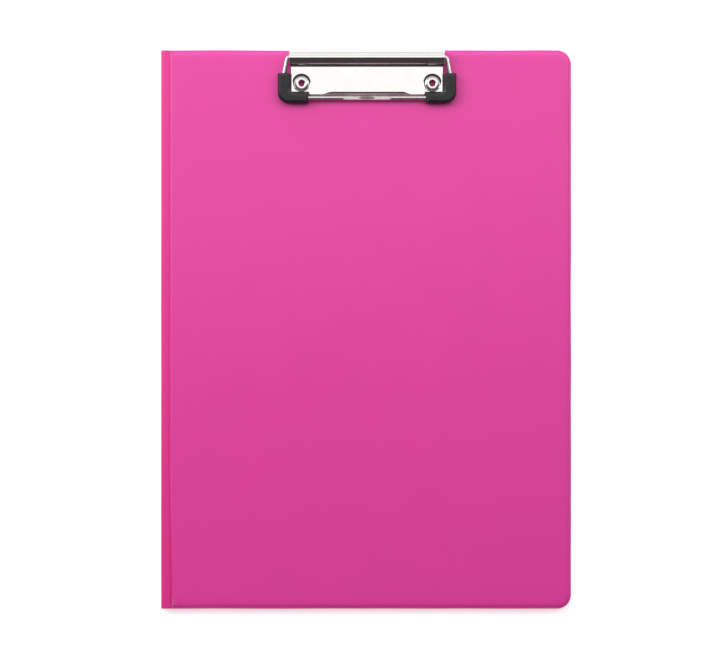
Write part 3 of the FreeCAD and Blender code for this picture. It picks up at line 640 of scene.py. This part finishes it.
class Nodes:
    """Short names for building a node tree."""

    def __init__(self, name):
        self.material = bpy.data.materials.new(name)
        self.material.use_nodes = True
        self.tree = self.material.node_tree
        self.shader = self.tree.nodes["Principled BSDF"]
        self.place = self.add("ShaderNodeTexCoord").outputs["Object"]

    def add(self, kind, **settings):
        node = self.tree.nodes.new(kind)
        for key, value in settings.items():
            setattr(node, key, value)
        return node

    def link(self, source, target):
        self.tree.links.new(source, target)

    def noise(self, size, detail=3.0, roughness=0.5, stretch=(1, 1, 1)):
        """Noise over patches of this size in millimetres."""
        mapping = self.add("ShaderNodeMapping")
        mapping.inputs["Scale"].default_value = [s / (size * MM) for s in stretch]
        self.link(self.place, mapping.inputs["Vector"])
        texture = self.add("ShaderNodeTexNoise")
        texture.inputs["Scale"].default_value = 1.0
        texture.inputs["Detail"].default_value = detail
        texture.inputs["Roughness"].default_value = roughness
        self.link(mapping.outputs["Vector"], texture.inputs["Vector"])
        return texture.outputs["Fac"]

    def cells(self, size):
        """Distance to the nearest centre of cells of this size in millimetres."""
        mapping = self.add("ShaderNodeMapping")
        mapping.inputs["Scale"].default_value = [1 / (size * MM)] * 3
        self.link(self.place, mapping.inputs["Vector"])
        texture = self.add("ShaderNodeTexVoronoi", feature="SMOOTH_F1")
        texture.inputs["Scale"].default_value = 1.0
        self.link(mapping.outputs["Vector"], texture.inputs["Vector"])
        return texture.outputs["Distance"]

    def ramp(self, source, stops):
        """Colours at places from 0 to 1."""
        ramp = self.add("ShaderNodeValToRGB")
        elements = ramp.color_ramp.elements
        while len(elements) < len(stops):
            elements.new(0.5)
        for element, (place, colour) in zip(elements, stops):
            element.position = place
            element.color = (*colour, 1.0)
        self.link(source, ramp.inputs["Fac"])
        return ramp.outputs["Color"]

    def span(self, source, low, high):
        """Maps 0 to 1 onto low to high."""
        node = self.add("ShaderNodeMapRange")
        node.inputs["To Min"].default_value = low
        node.inputs["To Max"].default_value = high
        self.link(source, node.inputs["Value"])
        return node.outputs["Result"]

    def bump(self, source, height, strength=1.0, under=None):
        """Bump of this height in millimetres, on top of another one."""
        node = self.add("ShaderNodeBump")
        node.inputs["Distance"].default_value = height * MM
        node.inputs["Strength"].default_value = strength
        self.link(source, node.inputs["Height"])
        if under:
            self.link(under, node.inputs["Normal"])
        return node.outputs["Normal"]

    def within(self, split, halves):
        """1 inside an upright ellipse round the origin of the split coordinates, fading to 0 outside it."""
        total = None
        for axis, half in zip("XY", halves):
            share = self.add("ShaderNodeMath", operation="MULTIPLY")
            self.link(split.outputs[axis], share.inputs[0])
            share.inputs[1].default_value = 1 / (half * MM)
            power = self.add("ShaderNodeMath", operation="MULTIPLY")
            self.link(share.outputs[0], power.inputs[0])
            self.link(share.outputs[0], power.inputs[1])
            if total:
                both = self.add("ShaderNodeMath", operation="ADD")
                self.link(total.outputs[0], both.inputs[0])
                self.link(power.outputs[0], both.inputs[1])
                total = both
            else:
                total = power
        fade = self.add("ShaderNodeMapRange", interpolation_type="SMOOTHSTEP")
        fade.inputs["From Min"].default_value = 0.75
        fade.inputs["From Max"].default_value = 1.15
        fade.inputs["To Min"].default_value = 1.0
        fade.inputs["To Max"].default_value = 0.0
        self.link(total.outputs[0], fade.inputs["Value"])
        return fade.outputs["Result"]

    def mix(self, factor, under, over):
        """A plain colour laid over another by factor."""
        node = self.add("ShaderNodeMix", data_type="RGBA")
        self.link(factor, node.inputs["Factor"])
        self.link(under, next(i for i in node.inputs if i.name == "A" and i.type == "RGBA"))
        next(i for i in node.inputs if i.name == "B" and i.type == "RGBA").default_value = (*over, 1.0)
        return next(o for o in node.outputs if o.type == "RGBA")

    def colour(self, output):
        self.link(output, self.shader.inputs["Base Color"])

    def roughness(self, output):
        self.link(output, self.shader.inputs["Roughness"])

    def normal(self, output):
        self.link(output, self.shader.inputs["Normal"])

    def fixed(self, **values):
        for key, value in values.items():
            self.shader.inputs[key.replace("_", " ")].default_value = value


def vinyl(name, base, rough):
    """Satin welded vinyl: faint mottling and a fine even grain."""
    nodes = Nodes(name)
    darker = tuple(c * 0.985 for c in base)
    lighter = tuple(min(1.0, c * 1.012) for c in base)
    nodes.colour(nodes.ramp(nodes.noise(26, 4, 0.55), [(0.30, darker), (0.70, lighter)]))
    nodes.roughness(nodes.span(nodes.noise(9, 5, 0.6), rough - 0.04, rough + 0.04))
    slow = nodes.bump(nodes.noise(14, 2, 0.4), 0.02, 0.35)
    grain = nodes.bump(nodes.cells(0.42), 0.012, 0.6, slow)
    nodes.normal(nodes.bump(nodes.noise(0.25, 2, 0.5), 0.004, 0.5, grain))
    nodes.fixed(IOR=1.52)
    return nodes.material


def plated_steel(name, base, rough):
    """Bright nickel plate: near mirror, with faint haze and hairline marks."""
    nodes = Nodes(name)
    nodes.fixed(Metallic=1.0)
    nodes.colour(
        nodes.ramp(nodes.noise(7, 4, 0.6), [(0.25, tuple(c * 0.95 for c in base)), (0.75, base)])
    )
    haze = nodes.noise(3.5, 5, 0.65)
    nodes.roughness(nodes.span(haze, rough, rough + 0.09))
    wave = nodes.bump(nodes.noise(10, 1, 0.4), 0.02, 0.5)
    hair = nodes.noise(0.5, 3, 0.6, stretch=(0.06, 1.0, 1.0))
    nodes.normal(nodes.bump(hair, 0.0015, 0.4, wave))
    return nodes.material


def wire_steel():
    """Drawn and plated wire: duller than the plate, with a painted bright reflection along the front bar's
    middle and a painted dark reflection inside it.
    """
    nodes = Nodes("wire_steel")
    nodes.fixed(Metallic=1.0)
    offset = nodes.add("ShaderNodeMapping", vector_type="POINT")
    offset.inputs["Location"].default_value = -REFLECTION_MIDDLE * MM
    nodes.link(nodes.place, offset.inputs["Vector"])
    split = nodes.add("ShaderNodeSeparateXYZ")
    nodes.link(offset.outputs["Vector"], split.inputs["Vector"])
    drawn = nodes.ramp(nodes.noise(4, 4, 0.6), [(0.3, (0.60, 0.57, 0.58)), (0.7, (0.68, 0.65, 0.66))])
    # Painted bright reflection along the front bar's middle, with a painted dark reflection inside it.
    bright = nodes.mix(nodes.within(split, (BRIGHT_REFLECTION_HALF, 4.0)), drawn, (0.84, 0.80, 0.80))
    colour = nodes.mix(nodes.within(split, (DARK_REFLECTION_HALF, 0.85)), bright, (0.26, 0.22, 0.23))
    nodes.colour(colour)
    nodes.roughness(nodes.span(nodes.noise(3, 5, 0.65), 0.20, 0.32))
    hair = nodes.noise(0.4, 3, 0.6, stretch=(0.06, 1.0, 1.0))
    nodes.normal(nodes.bump(hair, 0.003, 0.5))
    return nodes.material


def black_plastic():
    """Moulded semi-gloss plastic."""
    nodes = Nodes("black_plastic")
    nodes.colour(
        nodes.ramp(nodes.noise(5, 4, 0.6), [(0.3, (0.010, 0.010, 0.010)), (0.75, (0.019, 0.018, 0.019))])
    )
    nodes.roughness(nodes.span(nodes.noise(2.2, 5, 0.6), 0.30, 0.44))
    orange = nodes.bump(nodes.noise(1.1, 3, 0.5), 0.02, 0.5)
    nodes.normal(nodes.bump(nodes.noise(0.22, 2, 0.5), 0.004, 0.5, orange))
    nodes.fixed(IOR=1.5)
    return nodes.material


def greyboard():
    """Pressed recycled fibre."""
    nodes = Nodes("greyboard")
    fibres = nodes.noise(1.4, 6, 0.7, stretch=(0.25, 1.0, 1.0))
    nodes.colour(
        nodes.ramp(fibres, [(0.3, (0.24, 0.22, 0.19)), (0.6, (0.42, 0.39, 0.35)), (0.8, (0.52, 0.49, 0.45))])
    )
    nodes.roughness(nodes.span(nodes.noise(3, 4, 0.6), 0.82, 0.96))
    nodes.normal(nodes.bump(fibres, 0.05, 0.7))
    return nodes.material


def spring_steel():
    """Rolled and tempered strip, with marks along its length."""
    nodes = Nodes("spring_steel")
    nodes.fixed(Metallic=1.0)
    rolled = nodes.noise(0.6, 4, 0.6, stretch=(0.05, 1.0, 1.0))
    nodes.colour(nodes.ramp(rolled, [(0.3, (0.36, 0.34, 0.31)), (0.7, (0.52, 0.50, 0.47))]))
    nodes.roughness(nodes.span(nodes.noise(2, 4, 0.6), 0.28, 0.42))
    nodes.normal(nodes.bump(rolled, 0.004, 0.5))
    return nodes.material


MATERIALS = {
    "vinyl": vinyl("pink_vinyl", (0.82, 0.050, 0.362), 0.42),
    # Darker, deeper pink copy of the board vinyl: painted shade of the spine's curved strip.
    "spine_vinyl_painted_shade": vinyl("pink_spine_vinyl", (0.82, 0.036, 0.290), 0.44),
    "pocket_vinyl": vinyl("pocket_vinyl", (0.70, 0.062, 0.32), 0.36),
    "plated_steel": plated_steel("nickel_plate", (0.80, 0.79, 0.77), 0.08),
    "wire_steel": wire_steel(),
    "spring_steel": spring_steel(),
    "black_plastic": black_plastic(),
    "greyboard": greyboard(),
}


def paint(obj, key):
    """Gives a mesh one material."""
    obj.data.materials.clear()
    obj.data.materials.append(MATERIALS[key])


def dress(obj, key, body, slot, *nodes):
    """Gives a new piece its material and its body, and hides the CAD nodes that it stands for."""
    paint(obj, key)
    if body:
        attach(obj, body)
    if nodes:
        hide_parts(*nodes)


def paint_frame():
    """Materials of the CAD nodes that stay."""
    kept = {
        "clip_board_core": "greyboard",
        "cover_core": "greyboard",
        "clip_rivets": "plated_steel",
        "wire_bail": "wire_steel",
        "clip_leaf_spring": "spring_steel",
        "left_corner_sleeve": "black_plastic",
        "right_corner_sleeve": "black_plastic",
    }
    for node, key in kept.items():
        obj = frame["nodes"][node]
        for slot in obj.material_slots:
            slot.link = "OBJECT"
            slot.material = MATERIALS[key]


# Studio --------------------------------------------------------------------------------------


def add_area(name, place, size, radiance, aim):
    """A soft rectangular light of this radiance, aimed at a point."""
    light = bpy.data.lights.new(name, "AREA")
    light.shape = "RECTANGLE"
    light.size, light.size_y = size
    light.energy = radiance * math.pi * size[0] * size[1]
    obj = to_object(name, light)
    obj.location = place
    direction = Vector(aim) - Vector(place)
    obj.rotation_euler = direction.to_track_quat("-Z", "Y").to_euler()
    obj.visible_camera = False
    return obj


def make_floor():
    """White floor that glows a little, just below the lowest plane."""
    mesh = bpy.data.meshes.new("floor")
    half = 4.0
    corners = [(-half, -half, 0), (half, -half, 0), (half, half, 0), (-half, half, 0)]
    mesh.from_pydata(corners, [], [(0, 1, 2, 3)])
    floor = to_object("floor", mesh)
    floor.location.z = -0.0002
    nodes = Nodes("floor_white")
    nodes.fixed(Base_Color=(0.93, 0.93, 0.93, 1), Roughness=0.9)
    nodes.fixed(Emission_Color=(1, 1, 1, 1), Emission_Strength=0.55)
    mesh.materials.append(nodes.material)


def make_lights():
    """Bright panes over the table and beside it; the two soft fills don't show in the metal."""
    add_area("overhead_near", (0.0, 0.425, 1.55), (2.8, 0.65), 1.24, (0.0, 0.425, 0.0))
    add_area("overhead_far", (0.0, 1.345, 1.55), (2.8, 1.19), 1.0, (0.0, 1.345, 0.0))
    add_area("left", (-1.05, 0.60, 0.85), (0.7, 0.7), 5.8, (0.0, 0.10, 0.0))
    add_area("right", (1.05, 0.55, 0.85), (0.7, 0.7), 2.7, (0.0, 0.10, 0.0))
    add_area("back", (0.0, 2.3, 0.95), (3.6, 1.9), 0.95, (0.0, 0.0, 0.5))
    soft = [
        add_area("front", (0.0, -1.8, 0.35), (2.2, 0.5), 1.4, (0.0, 0.0, 0.0)),
        add_area("near_top", (0.0, 0.45, 0.50), (0.6, 0.3), 1.3, (0.0, 0.15, 0.0)),
    ]
    for light in soft:
        light.visible_glossy = False
    world = bpy.data.worlds.new("studio")
    world.use_nodes = True
    world.node_tree.nodes["Background"].inputs["Color"].default_value = (0.060, 0.052, 0.052, 1)
    bpy.context.scene.world = world
    bpy.context.scene.view_settings.view_transform = "Standard"
    bpy.context.scene.view_settings.look = "None"


def make_camera():
    """Straight above, framed as the object lies in the picture."""
    camera = bpy.data.cameras.new("camera")
    distance, seen_width = 1.30, 0.4122
    aside, down = -0.0034, -0.0003
    camera.sensor_width = 36.0
    camera.lens = camera.sensor_width * distance / seen_width
    obj = to_object("camera", camera)
    obj.location = (aside, down, distance + BOARD_FACE * MM)
    bpy.context.scene.camera = obj


clip_board, cover = ("clip_panel", BOARD_MID), ("cover", COVER_MID)
make_skin("clip_board_lining_skin", *clip_board, 1, foot_x, 1.0, "clip_board_lining", RIVET_PLACES)
make_skin("clip_board_outer_skin", *clip_board, -1, foot_x, 11.0, "clip_board_outer_sheet", RIVET_PLACES)
make_skin("cover_outer_skin", *cover, 1, cover_foot_x, 21.0, "cover_outer_sheet")
make_skin("cover_lining_skin", *cover, -1, cover_foot_x, 31.0, "cover_lining")
make_spine()
make_pocket()
make_plate()
paint_frame()
make_floor()
make_lights()
make_camera()
